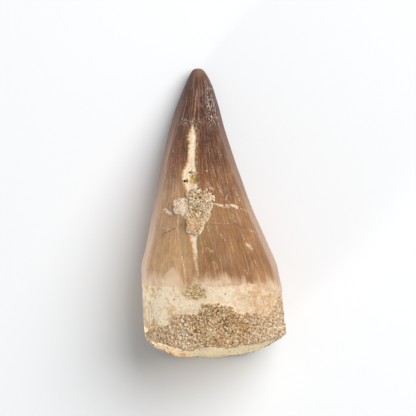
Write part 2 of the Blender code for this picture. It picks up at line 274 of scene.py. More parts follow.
def crackAndCrust(x, y, z, d, up):
    # The trench of the crack, less where crust fills it, then the crust, a pocket and two holes. Edges wander
    # more finely than in the solids. The last result tells how far inside crack, crust and pocket a point is.
    wander = uneven(x, y, z, *detail["crackWander"])
    off, half = crackOffset(x + wander, d)
    inLine = eased(d, 8.4, 9.0) * (1 - eased(d, 35.7, 36.3))
    crackIn = np.where(inLine > 0, half - off, -1.0)
    depth = tooth["crackDepth"] * np.minimum(half / tooth["crackFullWidth"], 1) * inLine
    frayed = uneven(x, y, z, *detail["crustFray"])
    crust, crustIn = crustHeight(x + frayed, y, z, d - frayed)
    crust = crust * up
    filled = 1 - eased(crust, 0, tooth["crackFill"])
    floorRelief = uneven(x, y, z, *detail["crackFloor"])
    crackShare = (1 - eased(off / half, 0.70, 1.10)) * up * filled * inLine
    crustShare = eased(crust, 0.02, 0.25)
    crustGrain = pebbles(x, y, z, detail["crustGrainSize"], 41) - 0.35
    relief = crust - (depth + floorRelief) * crackShare + detail["crustGrain"] * crustShare * crustGrain
    pocketX, pocketD, pocketR, pocketDepth = detail["pocket"]
    pocketIn = pocketR - np.hypot(x + wander - pocketX, (d - pocketD) * 0.72)
    relief = relief - pocketDepth * eased(pocketIn, -0.15, 0.5) * up
    for key in ("hole", "holeTwo"):
        holeX, holeD, holeR, holeDepth = detail[key]
        holeIn = holeR - np.hypot(x - holeX, d - holeD)
        relief = relief - holeDepth * eased(holeIn, -0.12, 0.12) * up
    inside = dict(
        crack=np.where(up * inLine > 0, crackIn, -1.0) - 2 * (1 - up) - 2 * (1 - filled),
        crust=np.where(up > 0, crustIn, -1.0) - 2 * (1 - up), pocket=np.where(up > 0, pocketIn, -1.0),
    )
    return relief, crustShare, inside


def rootAndMatrix(x, y, z, d, angle, beforeRim, face):
    # A step down where the enamel ends, pits in the bare root, then lumps and grains where matrix covers it.
    degrees = np.degrees(angle) % 360
    ragged = uneven(x, y, z, *detail["raggedLines"])
    sand = eased(d - smoothLine(tooth["sandLine"], degrees) + ragged, *tooth["sandEdge"])
    rootIn = d - smoothLine(detail["enamelLine"], degrees) + 0.5 * ragged
    bare = eased(rootIn, -0.5 * detail["enamelStep"], 0.5 * detail["enamelStep"]) * (1 - sand)
    relief = sand * tooth["sandHeight"] - tooth["enamelThickness"] * bare
    relief = relief - detail["rootPits"] * bare * np.maximum(layered(x, y, z, 0.7, 61), 0)
    for height, size, seed in tooth["sandLumps"]:
        relief = relief + sand * height * lumps(x, y, z, size, seed)
    covered = sand * eased(beforeRim + 0.6 * ragged, *detail["bareRim"]) * (1 - face)
    grain = detail["sandGrain"] * (pebbles(x, y, z, detail["sandGrainSize"], 71) - 0.4)
    return relief + grain * covered, rootIn, covered, grain


def brokenEnd(x, y, z, angle, end, rimPlace, face, grain):
    # Layers of the root wall as zigzag lines that follow the rim, and grains of matrix in the hollow.
    cavityUp, cavityWide, cavityHigh = detail["cavity"]
    cavityX, cavityZ = (1 - end) * np.cos(angle), (1 - end) * np.sin(angle) - cavityUp
    off = np.hypot(cavityX / cavityWide, cavityZ / cavityHigh)
    inner = eased(1 - off + 0.22 * layered(x, y, z, 2.0, 93, 3), *detail["cavityEdge"])
    lamina = (rimPlace + 0.55 * layered(x, 0 * x, z, 3.2, 91)) / detail["laminaSpacing"]
    lamina = detail["laminaHeight"] * (np.abs((lamina % 1) - 0.5) * 2 - 0.5)
    push = face * ((1 - inner) * lamina + inner * grain)
    nearRim = eased(rimPlace, -1.2, -0.4) * (1 - face)
    return push, 0.5 * lamina * nearRim, inner * face


def toothSurface(angle, side, rounding, end):  # the section, with all relief added outwards from it
    x, z, d, inset, beforeRim = section(angle, side, rounding, end)
    y = 0.5 * tooth["length"] - d
    up = eased(np.sin(angle), *tooth["facesUp"]) * (rounding == 0)
    face = eased(rounding, 0.9, 1.4)
    out = end * halfWidth(tooth["breakUpper"])
    rimPlace = inset + out - beforeRim  # negative on the side, rising over the broken end
    cracked, crustShare, fields = crackAndCrust(x, y, z, d, up)
    sandy, rootIn, covered, grain = rootAndMatrix(x, y, z, d, angle, beforeRim, face)
    push, layers, inner = brokenEnd(x, y, z, angle, end, rimPlace, face, grain)
    aroundX, aroundZ = 8.0 * np.cos(angle), 8.0 * np.sin(angle)
    wide, long = detail["striaeAround"], detail["striaeAlong"]
    striae = detail["striae"] * lumps(aroundX, aroundZ, d / long * wide, wide, 81)
    striae = striae * eased(-rootIn, 0, 1.5) * (1 - crustShare) * eased(d, 0.5, 3)
    waver = tooth["waver"] * lumps(x, y, z, tooth["waverSize"], 1) * eased(d, 0, 4)
    relief = edgeRidge(angle, d) + cracked + sandy + waver + striae + layers
    x = x + relief * np.cos(angle) * np.cos(rounding)
    y = y - relief * np.sin(rounding) - push
    z = z + relief * np.sin(angle) * np.cos(rounding)
    reach = halfWidth(np.minimum(d, tooth["rootEnd"]))
    fields = dict(
        fields, root=rootIn, edge=reach * (1 - np.abs(np.cos(angle))) + 9 * face, inner=inner + 0 * x,
        up=up + 0 * x, rim=rimPlace + 0 * x, covered=covered + 0 * x,
    )
    flow = np.stack(np.broadcast_arrays(aroundX, aroundZ, d + inset + out), axis=-1)
    return np.stack([x, y, np.maximum(z, 0.0)], axis=-1), fields, flow


def surfaceGrid():  # rows of (angle, side, rounding, end) from the tip to the middle of the broken end
    turn = np.linspace(-math.pi, math.pi, grid["columns"], endpoint=False)
    angle = math.pi / 2 + turn - grid["topCrowding"] * np.sin(turn)
    side = smoothLine(grid["rowPlaces"], np.linspace(0, 1, grid["sideRows"] + 1)[1:])
    rounding = np.linspace(0, math.pi / 2, grid["roundingRows"] + 1)[1:]
    end = np.linspace(0, 1, grid["endRows"] + 1)[1:-1] ** grid["endCrowding"]
    side = np.concatenate([side, np.ones(len(rounding) + len(end))])
    rounding = np.concatenate([np.zeros(grid["sideRows"]), rounding, np.full(len(end), math.pi / 2)])
    end = np.concatenate([np.zeros(grid["sideRows"] + grid["roundingRows"]), end])
    return np.broadcast_arrays(angle[None, :], side[:, None], rounding[:, None], end[:, None])


def newPiece(name, points, faces, numbers=None, vectors=None, material=None, smooth=True):
    # points in mm become a mesh in metres, with one attribute for each named field
    mesh = bpy.data.meshes.new(name)
    listed = [face for group in faces for face in group.tolist()]
    mesh.from_pydata((points * 0.001).tolist(), [], listed)
    for kind, held, named in (("FLOAT", "value", numbers), ("FLOAT_VECTOR", "vector", vectors)):
        for key, values in (named or {}).items():
            field = mesh.attributes.new(key, kind, "POINT")
            field.data.foreach_set(held, values.astype(np.float32).ravel())
    if smooth:
        mesh.shade_smooth()
    mesh.update()
    piece = bpy.data.objects.new(name, mesh)
    bpy.context.scene.collection.objects.link(piece)
    if material:
        mesh.materials.append(material)
    print(name, len(mesh.polygons), "faces, repaired" if mesh.validate() else "faces")
    return piece


def wrappedFaces(rows, columns):  # quads of a grid closed round its columns, and fans to the two end points
    r, c = np.meshgrid(np.arange(rows - 1), np.arange(columns), indexing="ij")
    after = (c + 1) % columns
    row, nextRow = r * columns, (r + 1) * columns
    quads = np.stack([row + c, nextRow + c, nextRow + after, row + after], axis=-1)
    c, after = c[0], after[0]
    first, last, lastRow = rows * columns, rows * columns + 1, (rows - 1) * columns
    top = np.stack([np.full(columns, first), c, after], axis=-1)
    bottom = np.stack([np.full(columns, last), lastRow + after, lastRow + c], axis=-1)
    return quads.reshape(-1, 4), top, bottom


def toothPoints():  # the surface on its grid, then the tip and the middle of the broken end
    rows = surfaceGrid()
    points, fields, flow = toothSurface(*rows)
    shape = points.shape[:2]
    for pole in ((0.0, 0.0, 0.0, 0.0), (0.0, 1.0, math.pi / 2, 1.0)):
        p, f, w = toothSurface(*(np.array([v]) for v in pole))
        points = np.concatenate([points.reshape(-1, 3), p])
        flow = np.concatenate([flow.reshape(-1, 3), w])
        fields = {k: np.concatenate([v.ravel(), f[k]]) for k, v in fields.items()}
    return points, fields, flow, shape


print("tooth surface")
points, fields, flow, shape = toothPoints()


# shader maths

class Value:
    # One socket of a material. Arithmetic on it adds Math nodes, and so reads as it would on paper.
    def __init__(self, paint, socket):
        self.paint, self.socket = paint, socket

    def math(self, operation, *others):
        return self.paint.node("ShaderNodeMath", {"operation": operation}, dict(enumerate((self,) + others)))

    def reflected(self, operation, other):
        return self.paint.node("ShaderNodeMath", {"operation": operation}, {0: other, 1: self})

    def __add__(self, other):
        return self.math("ADD", other)

    def __sub__(self, other):
        return self.math("SUBTRACT", other)

    def __rsub__(self, other):
        return self.reflected("SUBTRACT", other)

    def __mul__(self, other):
        return self.math("MULTIPLY", other)

    def __truediv__(self, other):
        return self.math("DIVIDE", other)

    def __rtruediv__(self, other):
        return self.reflected("DIVIDE", other)

    def __pow__(self, other):
        return self.math("POWER", other)

    def __abs__(self):
        return self.math("ABSOLUTE")

    __radd__, __rmul__ = __add__, __mul__

    def atLeast(self, other):
        return self.math("MAXIMUM", other)

    def atMost(self, other):
        return self.math("MINIMUM", other)

    def ease(self, start, end):  # 0 before start, 1 after end; start may be the larger one
        settings = {"interpolation_type": "SMOOTHSTEP"}
        low, high = (start, end) if start < end else (end, start)
        flat = self.paint.node("ShaderNodeMapRange", settings, {0: self, 1: low, 2: high, 3: 0.0, 4: 1.0})
        return flat if start < end else 1 - flat


class Paint:
    # A material being built. node() makes any node: settings first, then the values or links of its sockets.
    def __init__(self, name):
        self.material = bpy.data.materials.new(name)
        self.material.use_nodes = True
        self.tree = self.material.node_tree
        self.tree.nodes.clear()

    def node(self, kind, settings=None, inputs=None, out=0):
        made = self.tree.nodes.new(kind)
        for key, value in (settings or {}).items():
            if key == "stops":
                ramp = made.color_ramp
                while len(ramp.elements) < len(value):
                    ramp.elements.new(1.0)
                for element, (place, colour) in zip(ramp.elements, value):
                    element.position, element.color = place, colour
            else:
                setattr(made, key, value)
        for key, value in (inputs or {}).items():
            if isinstance(value, Value):
                self.tree.links.new(value.socket, made.inputs[key])
            else:
                made.inputs[key].default_value = value
        return Value(self, made.outputs[out])

    def number(self, name):
        return self.node("ShaderNodeAttribute", {"attribute_name": name}, out="Fac")

    def vector(self, name):
        return self.node("ShaderNodeAttribute", {"attribute_name": name}, out="Vector")

    def millimetres(self):  # Object coordinates, in mm
        place = self.node("ShaderNodeTexCoord", out="Object")
        return self.node("ShaderNodeVectorMath", {"operation": "SCALE"}, {0: place, "Scale": 1000.0})

    def stretched(self, vector, scale, shift=(0.0, 0.0, 0.0)):
        return self.node("ShaderNodeMapping", None, {0: vector, "Location": shift, "Scale": scale})

    def parts(self, vector):
        split = self.tree.nodes.new("ShaderNodeSeparateXYZ")
        self.tree.links.new(vector.socket, split.inputs[0])
        return [Value(self, s) for s in split.outputs]

    def noise(self, vector, scale, octaves, roughness):  # from about 0.2 to 0.8
        inputs = {"Vector": vector, "Scale": scale, "Detail": octaves, "Roughness": roughness}
        return self.node("ShaderNodeTexNoise", None, inputs)

    def cells(self, vector, scale, feature="F1"):  # distance to the nearest point, or to its cell's edge
        inputs = {"Vector": vector, "Scale": scale}
        return self.node("ShaderNodeTexVoronoi", {"feature": feature}, inputs, out="Distance")

    def mix(self, share, first, second, blend="MIX"):
        settings = {"data_type": "RGBA", "blend_type": blend}
        return self.node("ShaderNodeMix", settings, {0: share, 6: first, 7: second}, out=2)

    def times(self, share, colour, factor):  # the colour multiplied, by that share
        return self.mix(share, colour, factor, "MULTIPLY")

    def ramp(self, value, colours):  # rows of a place from 0 to 1 and the photo's red, green, blue
        stops = [(place, tint(*colour)) for place, *colour in colours]
        return self.node("ShaderNodeValToRGB", {"stops": stops}, {0: value})

    def bump(self, height, strength, distance, normal=None):
        inputs = {"Height": height, "Strength": strength, "Distance": distance * 0.001}
        if normal:
            inputs["Normal"] = normal
        return self.node("ShaderNodeBump", None, inputs)

    def finish(self, **inputs):  # the sockets' names with their spaces left out
        shader = self.tree.nodes.new("ShaderNodeBsdfPrincipled")
        for socket in shader.inputs:
            value = inputs.pop(socket.name.replace(" ", ""), None)
            if isinstance(value, Value):
                self.tree.links.new(value.socket, socket)
            elif value is not None:
                socket.default_value = value
        if inputs:
            raise ValueError(f"no socket for {sorted(inputs)}")
        out = self.tree.nodes.new("ShaderNodeOutputMaterial")
        self.tree.links.new(shader.outputs[0], out.inputs["Surface"])
        return self.material


studioLevel = 1.25  # how much light falls on a level surface, so the share that the paint gives back is less


def tint(r, g, b):  # a colour as the photograph shows it, 0 to 255, as the paint's linear colour
    def linear(c):
        c = c / 255
        return (c / 12.92 if c <= 0.04045 else ((c + 0.055) / 1.055) ** 2.4) / studioLevel
    return (linear(r), linear(g), linear(b), 1)


# thin marks on the upper face: from and to in photo pixels, half widths in mm there, colour, strength

cream, rosy, orange = tint(241, 215, 185), tint(226, 200, 184), tint(205, 150, 92)
mauve, white = tint(116, 66, 60), tint(246, 230, 206)
marks = (
    ((196.8, 88.5), (195.8, 97), 0.05, 0.1, tint(214, 174, 138), 0.8),
    ((195.8, 97), (194.6, 114.5), 0.1, 0.07, orange, 0.85),
    ((213.5, 203.4), (222, 205.6), 0.11, 0.18, cream, 0.8),
    ((222, 205.4), (233, 204.8), 0.17, 0.13, cream, 0.7),
    ((222, 207.2), (229, 207), 0.12, 0.1, cream, 0.6),
    ((232.5, 205.4), (237.5, 207.5), 0.24, 0.2, white, 0.85),
    ((238.5, 207.5), (252, 213.5), 0.07, 0.07, cream, 0.35),
    ((210, 224.5), (234, 224), 0.09, 0.07, mauve, 0.65),
    ((213, 223.2), (232, 223.6), 0.05, 0.05, rosy, 0.45),
    ((234, 224), (253, 232), 0.08, 0.08, mauve, 0.5),
    ((248, 229.5), (254, 232), 0.11, 0.1, cream, 0.55),
    ((163, 228), (170, 230), 0.13, 0.1, rosy, 0.7),
    ((164, 234), (175, 228.5), 0.12, 0.1, mauve, 0.8),
    ((172, 230), (183, 224), 0.1, 0.12, mauve, 0.75),
    ((176.5, 226.5), (178.5, 229.5), 0.14, 0.12, rosy, 0.75),
    ((178, 213), (178, 224), 0.08, 0.1, white, 0.7),
    ((178, 224), (179, 240), 0.11, 0.06, rosy, 0.85),
    ((179, 240), (182, 258), 0.04, 0.05, rosy, 0.55),
    ((182, 256), (186, 276), 0.09, 0.06, white, 0.8),
    ((165, 209.6), (167.5, 211), 0.22, 0.24, white, 0.95),
    ((167.5, 212.2), (170.5, 213.4), 0.24, 0.28, white, 0.95),
    ((154.5, 214), (157, 214.6), 0.14, 0.11, white, 0.6),
    ((207, 247), (212, 251.5), 0.05, 0.09, cream, 0.55),
    ((212, 251.5), (213.5, 249.5), 0.09, 0.07, cream, 0.5),
    ((246.5, 243.5), (249, 246.5), 0.25, 0.22, cream, 0.7),
    ((249, 246.5), (251.5, 248.5), 0.16, 0.2, rosy, 0.7),
    ((206.7, 170), (207.5, 172), 0.11, 0.11, white, 0.75),
    ((207.5, 183), (209.5, 185.5), 0.07, 0.07, rosy, 0.55),
    ((210, 188), (214, 190), 0.18, 0.14, rosy, 0.6),
    ((217, 184), (221, 192.5), 0.05, 0.05, cream, 0.55),
    ((226, 187), (226.5, 190), 0.06, 0.05, rosy, 0.5),
    ((229, 193), (225.5, 198.5), 0.05, 0.06, cream, 0.55),
    ((225.5, 198.5), (229, 203), 0.06, 0.05, cream, 0.5),
    ((235, 192), (237.5, 195.5), 0.11, 0.08, rosy, 0.5),
    ((238.5, 198), (239.5, 201), 0.07, 0.06, white, 0.5),
    ((221, 234), (225, 240.5), 0.06, 0.05, cream, 0.5),
    ((207.5, 227), (211, 236), 0.13, 0.07, cream, 0.45),
    ((204.5, 240), (206, 251), 0.08, 0.06, cream, 0.45),
    ((173.5, 150), (173.6, 152), 0.07, 0.07, cream, 0.7),
    ((176.3, 184), (177.2, 192), 0.05, 0.05, rosy, 0.6),
    ((213, 261.5), (216, 263.5), 0.12, 0.08, cream, 0.5),
    ((215, 269), (217.5, 265.5), 0.06, 0.08, rosy, 0.55),
    ((199.5, 235), (201.5, 244), 0.09, 0.07, cream, 0.6),
    ((202.5, 246), (203, 252), 0.05, 0.05, cream, 0.45),
    ((225.5, 272), (228, 282), 0.06, 0.1, cream, 0.45),
    ((244.5, 269.5), (247.5, 274), 0.1, 0.08, cream, 0.5),
    ((254, 260), (256.5, 266), 0.06, 0.05, rosy, 0.5),
    ((152, 266), (153, 274), 0.16, 0.1, mauve, 0.35),
    ((160.5, 190), (161, 206), 0.05, 0.04, rosy, 0.45),
    ((170, 172), (171, 186), 0.04, 0.06, cream, 0.4),
    ((174, 178), (173, 196), 0.05, 0.05, rosy, 0.55),
    ((233, 214), (236, 222), 0.04, 0.06, rosy, 0.4),
    ((241, 232), (244, 240), 0.05, 0.04, cream, 0.4),
)


def marked(paint, colour, place, top):
    # Distance from a point to each mark's line: clamp the share along it, then measure what is left over.
    # Slow noise bends the line, quick noise frays its edge, and another breaks it up.
    x, y = paint.parts(place)[:2]
    bent, frayed = paint.noise(place, 1.1, 2, 0.5) - 0.5, paint.noise(place, 6.5, 3, 0.65) - 0.5
    broken = paint.noise(paint.stretched(place, (1, 1, 1), (5, 1, 2)), 2.6, 2, 0.6).ease(0.36, 0.54)
    x, y = x + bent * 0.35, y - bent * 0.35
    for (px, py), (qx, qy), wide, wideEnd, shade, strength in marks:
        (ax, ad), (bx, bd) = placeOf(px, py), placeOf(qx, qy)
        ay, by = 0.5 * tooth["length"] - ad, 0.5 * tooth["length"] - bd
        dx, dy = bx - ax, by - ay
        size = dx * dx + dy * dy
        along = ((x - ax) * (dx / size) + (y - ay) * (dy / size)).atLeast(0).atMost(1)
        gapX, gapY = x - ax - along * dx, y - ay - along * dy
        away = (gapX * gapX + gapY * gapY) ** 0.5
        inside = along * (wideEnd - wide) + wide - away + frayed * 0.75
        colour = paint.mix(inside.ease(-0.08, 0.09) * top * broken * strength, colour, shade)
    return colour


def paintedLeftLight(x):  # painted light: the left side lightened to be nearly as light as the middle, against the lamps' shade there
    return 1 + x.ease(-1.5, -10) * 0.26 + x.ease(-9.5, -12) * 0.14


def oval(x, d, middleX, middleD, reachX, reachD):  # 0 at an oval's middle, 1 on its outline
    return (((x - middleX) / reachX) ** 2 + ((d - middleD) / reachD) ** 2) ** 0.5


def sandColours(paint, tone):  # tone from 0 to 1 picks a grain's colour
    return paint.ramp(tone, (
        (0, 84, 52, 26), (0.12, 128, 88, 50), (0.28, 176, 136, 92), (0.46, 212, 178, 136),
        (0.66, 236, 208, 164), (0.84, 250, 232, 196), (0.93, 222, 172, 112), (1, 255, 244, 222),
    ))


def enamelColour(paint, x, d, flow, top, edge, root):
    # dark and mauve at the tip, brown in the middle, tan lower down, in fine lengthwise streaks
    broad = paint.noise(flow, 0.35, 3, 0.5)
    threads = paint.noise(paint.stretched(flow, (1, 1, 0.045)), 4.6, 3, 0.6)
    bands = paint.noise(paint.stretched(flow, (1, 1, 0.045), (3, 0, 1)), 0.75, 4, 0.55)
    grit = paint.noise(paint.stretched(flow, (1, 1, 0.35)), 5, 2, 0.6)
    at = (d + (broad - 0.5) * 5 + (bands - 0.5) * 7) / 40
    # the left ramp is lighter than the right: partly the enamel's own colour, partly painted light against
    # the shade on the left side
    left = paint.ramp(at, (
        (0, 112, 84, 72), (0.06, 104, 76, 66), (0.16, 104, 71, 62), (0.29, 114, 74, 56),
        (0.42, 146, 102, 74), (0.56, 196, 155, 121), (0.78, 200, 159, 118), (1, 212, 173, 136),
    ))
    right = paint.ramp(at, (
        (0, 98, 71, 59), (0.06, 90, 57, 45), (0.16, 84, 48, 35), (0.3, 92, 56, 39), (0.42, 112, 71, 47),
        (0.52, 140, 99, 68), (0.6, 150, 108, 70), (0.8, 154, 109, 69), (1, 170, 126, 90),
    ))
    colour = paint.mix((x + 3.6 + (bands - 0.5) * 4).ease(-2, 2.6), left, right)
    # on the right the cross crack parts darker enamel above from lighter below
    below = (d - 24 - x * 0.1).ease(-0.25, 0.35) * (x + 0.5).ease(0, 1.5) * (d - 30).ease(2, -3)
    colour = paint.mix(below * 0.18, colour, tint(168, 130, 92))
    colour = paint.times(bands.ease(0.5, 0.62) * d.ease(34, 16) * 0.55, colour, (1.06, 0.86, 0.75, 1))
    colour = paint.times(bands.ease(0.5, 0.38) * d.ease(28, 10) * 0.7, colour, (1.02, 1.1, 1.18, 1))
    colour = paint.times(broad.ease(0.46, 0.6) * d.ease(14, 24) * 0.45, colour, (1.04, 1.02, 0.86, 1))
    darkening = (grit - 0.5) * (d.ease(34, 8) * 1.4 + 0.6)
    nearTip = d.ease(15, 6)
    streaks = 1 + (threads - 0.5) * (0.6 + d.ease(30, 14) + nearTip * 1.2) + (broad - 0.5) * 0.6
    coarse = paint.noise(paint.stretched(flow, (1, 1, 0.12), (4, 9, 2)), 1.9, 3, 0.65)
    streaks = streaks + (bands - 0.5) * (0.5 + nearTip * 1.5) + (coarse - 0.5) * nearTip * 2.4
    colour = paint.mix(coarse.ease(0.5, 0.64) * nearTip * 0.3, colour, tint(160, 128, 120))
    colour = paint.times(1, colour, (streaks + darkening).atLeast(0.25))
    colour = paint.times(threads.ease(0.52, 0.38) * 0.45, colour, (0.92, 0.78, 0.66, 1))
    hairs = paint.noise(paint.stretched(flow, (1, 1, 0.06), (2, 6, 4)), 6.4, 2, 0.55)
    colour = paint.mix(hairs.ease(0.55, 0.66) * (0.16 + broad * 0.36), colour, tint(214, 180, 148))
    colour = paint.times(hairs.ease(0.44, 0.35) * 0.5, colour, (0.84, 0.74, 0.66, 1))
    # painted highlights: silvery glints among dark specks beside the tip, and sparser light glints further
    # down
    across = paint.parts(flow)[0]  # -8 at the left edge, 8 at the right
    sparseGlints = paint.noise(paint.stretched(flow, (1, 1, 0.3), (7, 2, 0)), 8.5, 1, 0.5)
    glintZone = (abs(across - 5.9).ease(2.8, 0.9) + abs(across - 3).ease(4, 1) * 0.2).atMost(1)
    glintZone = glintZone * abs(d - 6.4).ease(5, 2.2) * top
    glintsAndDarkSpecks = paint.noise(paint.stretched(flow, (1, 1, 0.6), (1, 5, 0)), 3.4, 1, 0.5)
    colour = paint.mix(glintsAndDarkSpecks.ease(0.46, 0.36) * glintZone * 0.7, colour, tint(54, 36, 34))
    # painted highlights: the light glints beside the tip
    colour = paint.mix(glintsAndDarkSpecks.ease(0.57, 0.66) * glintZone * 0.9, colour, tint(226, 216, 208))
    sparseGlintZone = (across + 1.5).ease(0, 3) * d.ease(8, 13) * d.ease(36, 26) * top
    # painted highlights: sparse light glints further down
    colour = paint.mix(sparseGlints.ease(0.68, 0.75) * sparseGlintZone * 0.7, colour, tint(222, 196, 172))
    tipGlow = oval(x, d, -2.7, 0.4, 1.6, 1.5) + (grit - 0.5) * 1.5
    colour = paint.mix(tipGlow.ease(1, 0.3) * 0.4, colour, tint(160, 122, 94))
    # painted sheen: paler, rosy sides, more so on the left as painted light, with a lighter line along them
    # that is partly painted sheen and partly the lighter worn cutting edges
    side = (edge + (threads - 0.5) * 0.9 + (bands - 0.5) * 1.2).ease(1.15, 0.45) * d.ease(2, 14)
    sideSheenTint = paint.ramp(d / 40, (
        (0, 128, 98, 86), (0.3, 158, 122, 106), (0.55, 190, 152, 128), (0.75, 232, 200, 178),
        (1, 230, 202, 180),
    ))
    # painted sheen along the sides, stronger on the left as painted light
    colour = paint.mix(side * (0.44 + x.ease(-3, -9) * 0.32), colour, sideSheenTint)
    wornEdgeAndSheenLine = abs(edge + (threads - 0.5) * 0.6 - 0.5).ease(0.3, 0.05)
    wornEdgeAndSheenLine = wornEdgeAndSheenLine * d.ease(6, 16) * bands.ease(0.42, 0.56)
    colour = paint.mix(wornEdgeAndSheenLine * 0.35, colour, tint(238, 208, 184))
    # enamel thins and pales towards its end, least on the right
    late = (x + 3).ease(-1, 1) * 0.5 + (x - 3).ease(-1, 1) * 1.2 - (x - 8.5).ease(-1, 1.5) * 0.7
    late = late + abs(x + 4.5).ease(1.3, 0.5) * 1.8
    pale = (root + (bands - 0.5) * 3.4 + (broad - 0.5) * 3 + (threads - 0.5) * 1.2 - late).ease(-3.1, -0.9)
    mottled = (bands * 0.6 + grit * 0.4).ease(0.42, 0.58)
    paleTint = paint.mix(mottled, tint(246, 218, 186), tint(226, 190, 156))
    colour = paint.mix(pale * 0.92, colour, paleTint)
    blotch = oval(x, d, -6.9, 36.4, 1.2, 1.8) + (broad - 0.5) * 2 + (threads - 0.5) * 1.2
    return paint.mix(blotch.ease(1.1, 0.7) * top * 0.7, colour, tint(240, 209, 174)), threads


def boneColour(paint, place, x, d, fine, threads, edge):  # cream with ochre stains, dark specks and layers
    stain = paint.noise(place, 0.75, 4, 0.62)
    bone = paint.mix(fine.ease(0.35, 0.68), tint(255, 238, 210), tint(244, 218, 182))
    freckled = 0.36 + stain.ease(0.42, 0.58) * 0.36 + fine.ease(0.46, 0.6) * 0.26
    bone = paint.mix((x - 2).ease(0, 5) * freckled, bone, tint(210, 166, 124))
    stained = (stain + (fine - 0.5) * 0.3).ease(0.47, 0.62) * ((x + 6.5).ease(2.5, -2) * 0.5 + 0.22)
    bone = paint.mix(stained, bone, tint(210, 166, 104))
    layers = threads.ease(0.44, 0.6) * (d - 40.2).ease(0, 1.6) * edge.ease(3.2, 1.2)
    bone = paint.mix(layers * 0.75, bone, tint(186, 148, 108))
    speck = paint.cells(place, 0.62)
    return paint.mix((speck + (fine - 0.5) * 0.6).ease(0.13, 0.05) * 0.75, bone, tint(116, 84, 52)), stain


def crustColour(paint, place, x, d, crust, fine):  # grey-beige chips, rosy on the left, ochre below
    chips = paint.cells(place, 2.1, "DISTANCE_TO_EDGE")
    tone = paint.noise(place, 2.1, 4, 0.75)
    speckle = paint.noise(place, 3.6, 3, 0.7)
    main = (x + 4.4).ease(-0.4, 0.3) * (d - 25.6).ease(1.2, -0.6)
    skin = paint.ramp(tone, (
        (0.3, 140, 110, 80), (0.4, 196, 168, 136), (0.5, 228, 206, 176), (0.64, 252, 240, 220),
    ))
    skin = paint.mix(oval(x, d, -3.1, 28.4, 0.5, 0.6).ease(1.4, 0.5) * 0.6, skin, tint(206, 128, 84))
    skin = paint.mix(oval(x, d, -5.9, 23.9, 1.6, 1.8).ease(1.15, 0.8) * 0.72, skin, tint(246, 220, 194))
    ochreLobe = oval(x, d, -3.4, 26.6, 1.9, 2.1).ease(1.15, 0.6) * (0.3 + tone * 0.8)
    skin = paint.mix(ochreLobe, skin, tint(226, 174, 114))
    skin = paint.mix(speckle.ease(0.46, 0.38) * (0.15 + main * 0.35), skin, tint(110, 84, 64))
    skin = paint.mix(speckle.ease(0.54, 0.62) * 0.7, skin, tint(250, 240, 224))
    skin = paint.mix((chips + (fine - 0.5) * 0.12).ease(0.08, 0.01) * 0.6, skin, tint(112, 84, 60))
    lowest = (d - 26.5).ease(0, 1.5) * crust.ease(0.75, 0.15)
    skin = paint.mix(lowest * 0.75, skin, tint(238, 212, 176))
    # a cream edge round the crust: partly its own pale chips, partly painted light on the steep sides that
    # face away from the key lamp
    return paint.mix(crust.ease(0.42, 0) * (0.45 + tone.ease(0.44, 0.54) * 0.5), skin, tint(254, 242, 222))


def wallColourAndPaintedLight(paint, flow, rim, fine, stain, x):  # thin cream and khaki layers that follow the broken rim, all lightened as painted light
    layers = paint.noise(paint.stretched(flow, (0.3, 0.3, 1)), 3.2, 3, 0.65)
    wall = paint.ramp(layers, (
        (0.34, 214, 174, 120), (0.42, 244, 216, 170), (0.5, 253, 240, 212), (0.58, 244, 214, 166),
        (0.66, 252, 242, 216),
    ))
    orangeStain = abs(x + 7).ease(4, 1.5) * stain.ease(0.42, 0.58)
    wall = paint.mix(orangeStain * 0.8, wall, tint(220, 164, 100))
    wall = paint.mix(fine.ease(0.58, 0.68) * 0.3, wall, tint(160, 122, 80))
    speckle = paint.noise(flow, 4.4, 2, 0.7)
    wall = paint.mix(speckle.ease(0.46, 0.38) * 0.28, wall, tint(200, 160, 110))
    wall = paint.mix(abs(rim - 1).ease(0.5, 0.2) * 0.6, wall, tint(255, 244, 220))
    # painted light: the whole wall lightened, since the broken end faces away from the key lamp and lies in
    # shade
    return paint.times(1, wall, (1.27, 1.25, 1.2, 1))


